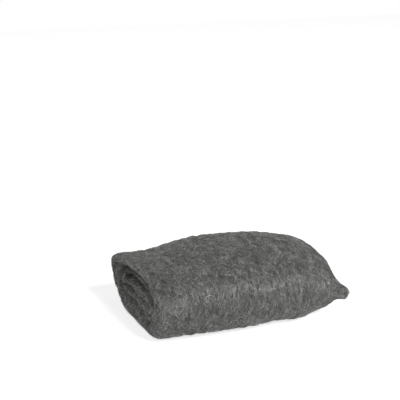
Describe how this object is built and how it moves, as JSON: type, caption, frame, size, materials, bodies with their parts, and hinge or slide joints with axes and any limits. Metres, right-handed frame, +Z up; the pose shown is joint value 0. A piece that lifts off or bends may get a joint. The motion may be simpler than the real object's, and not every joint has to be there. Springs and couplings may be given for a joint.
{
  "type": "steel wool pad",
  "caption": "Flat rolled pad of fine steel wool, with the ribbon's turns showing at both ends and a short loose tail at one corner.",
  "frame": {"origin": "on the surface the pad lies on, under the middle of its bounding box", "axes": "+X along the roll from the near end to the far end with the tail, +Y to the back, +Z up through the pad's thickness"},
  "size_m": [0.105, 0.08, 0.0361],
  "materials": {
    "steel_wool": "loose mat of fine dark grey steel fibres, dull all over with small bright flecks"
  },
  "bodies": {
    "root": {"rolled_ribbon": "steel_wool"}
  },
  "joints": []
}
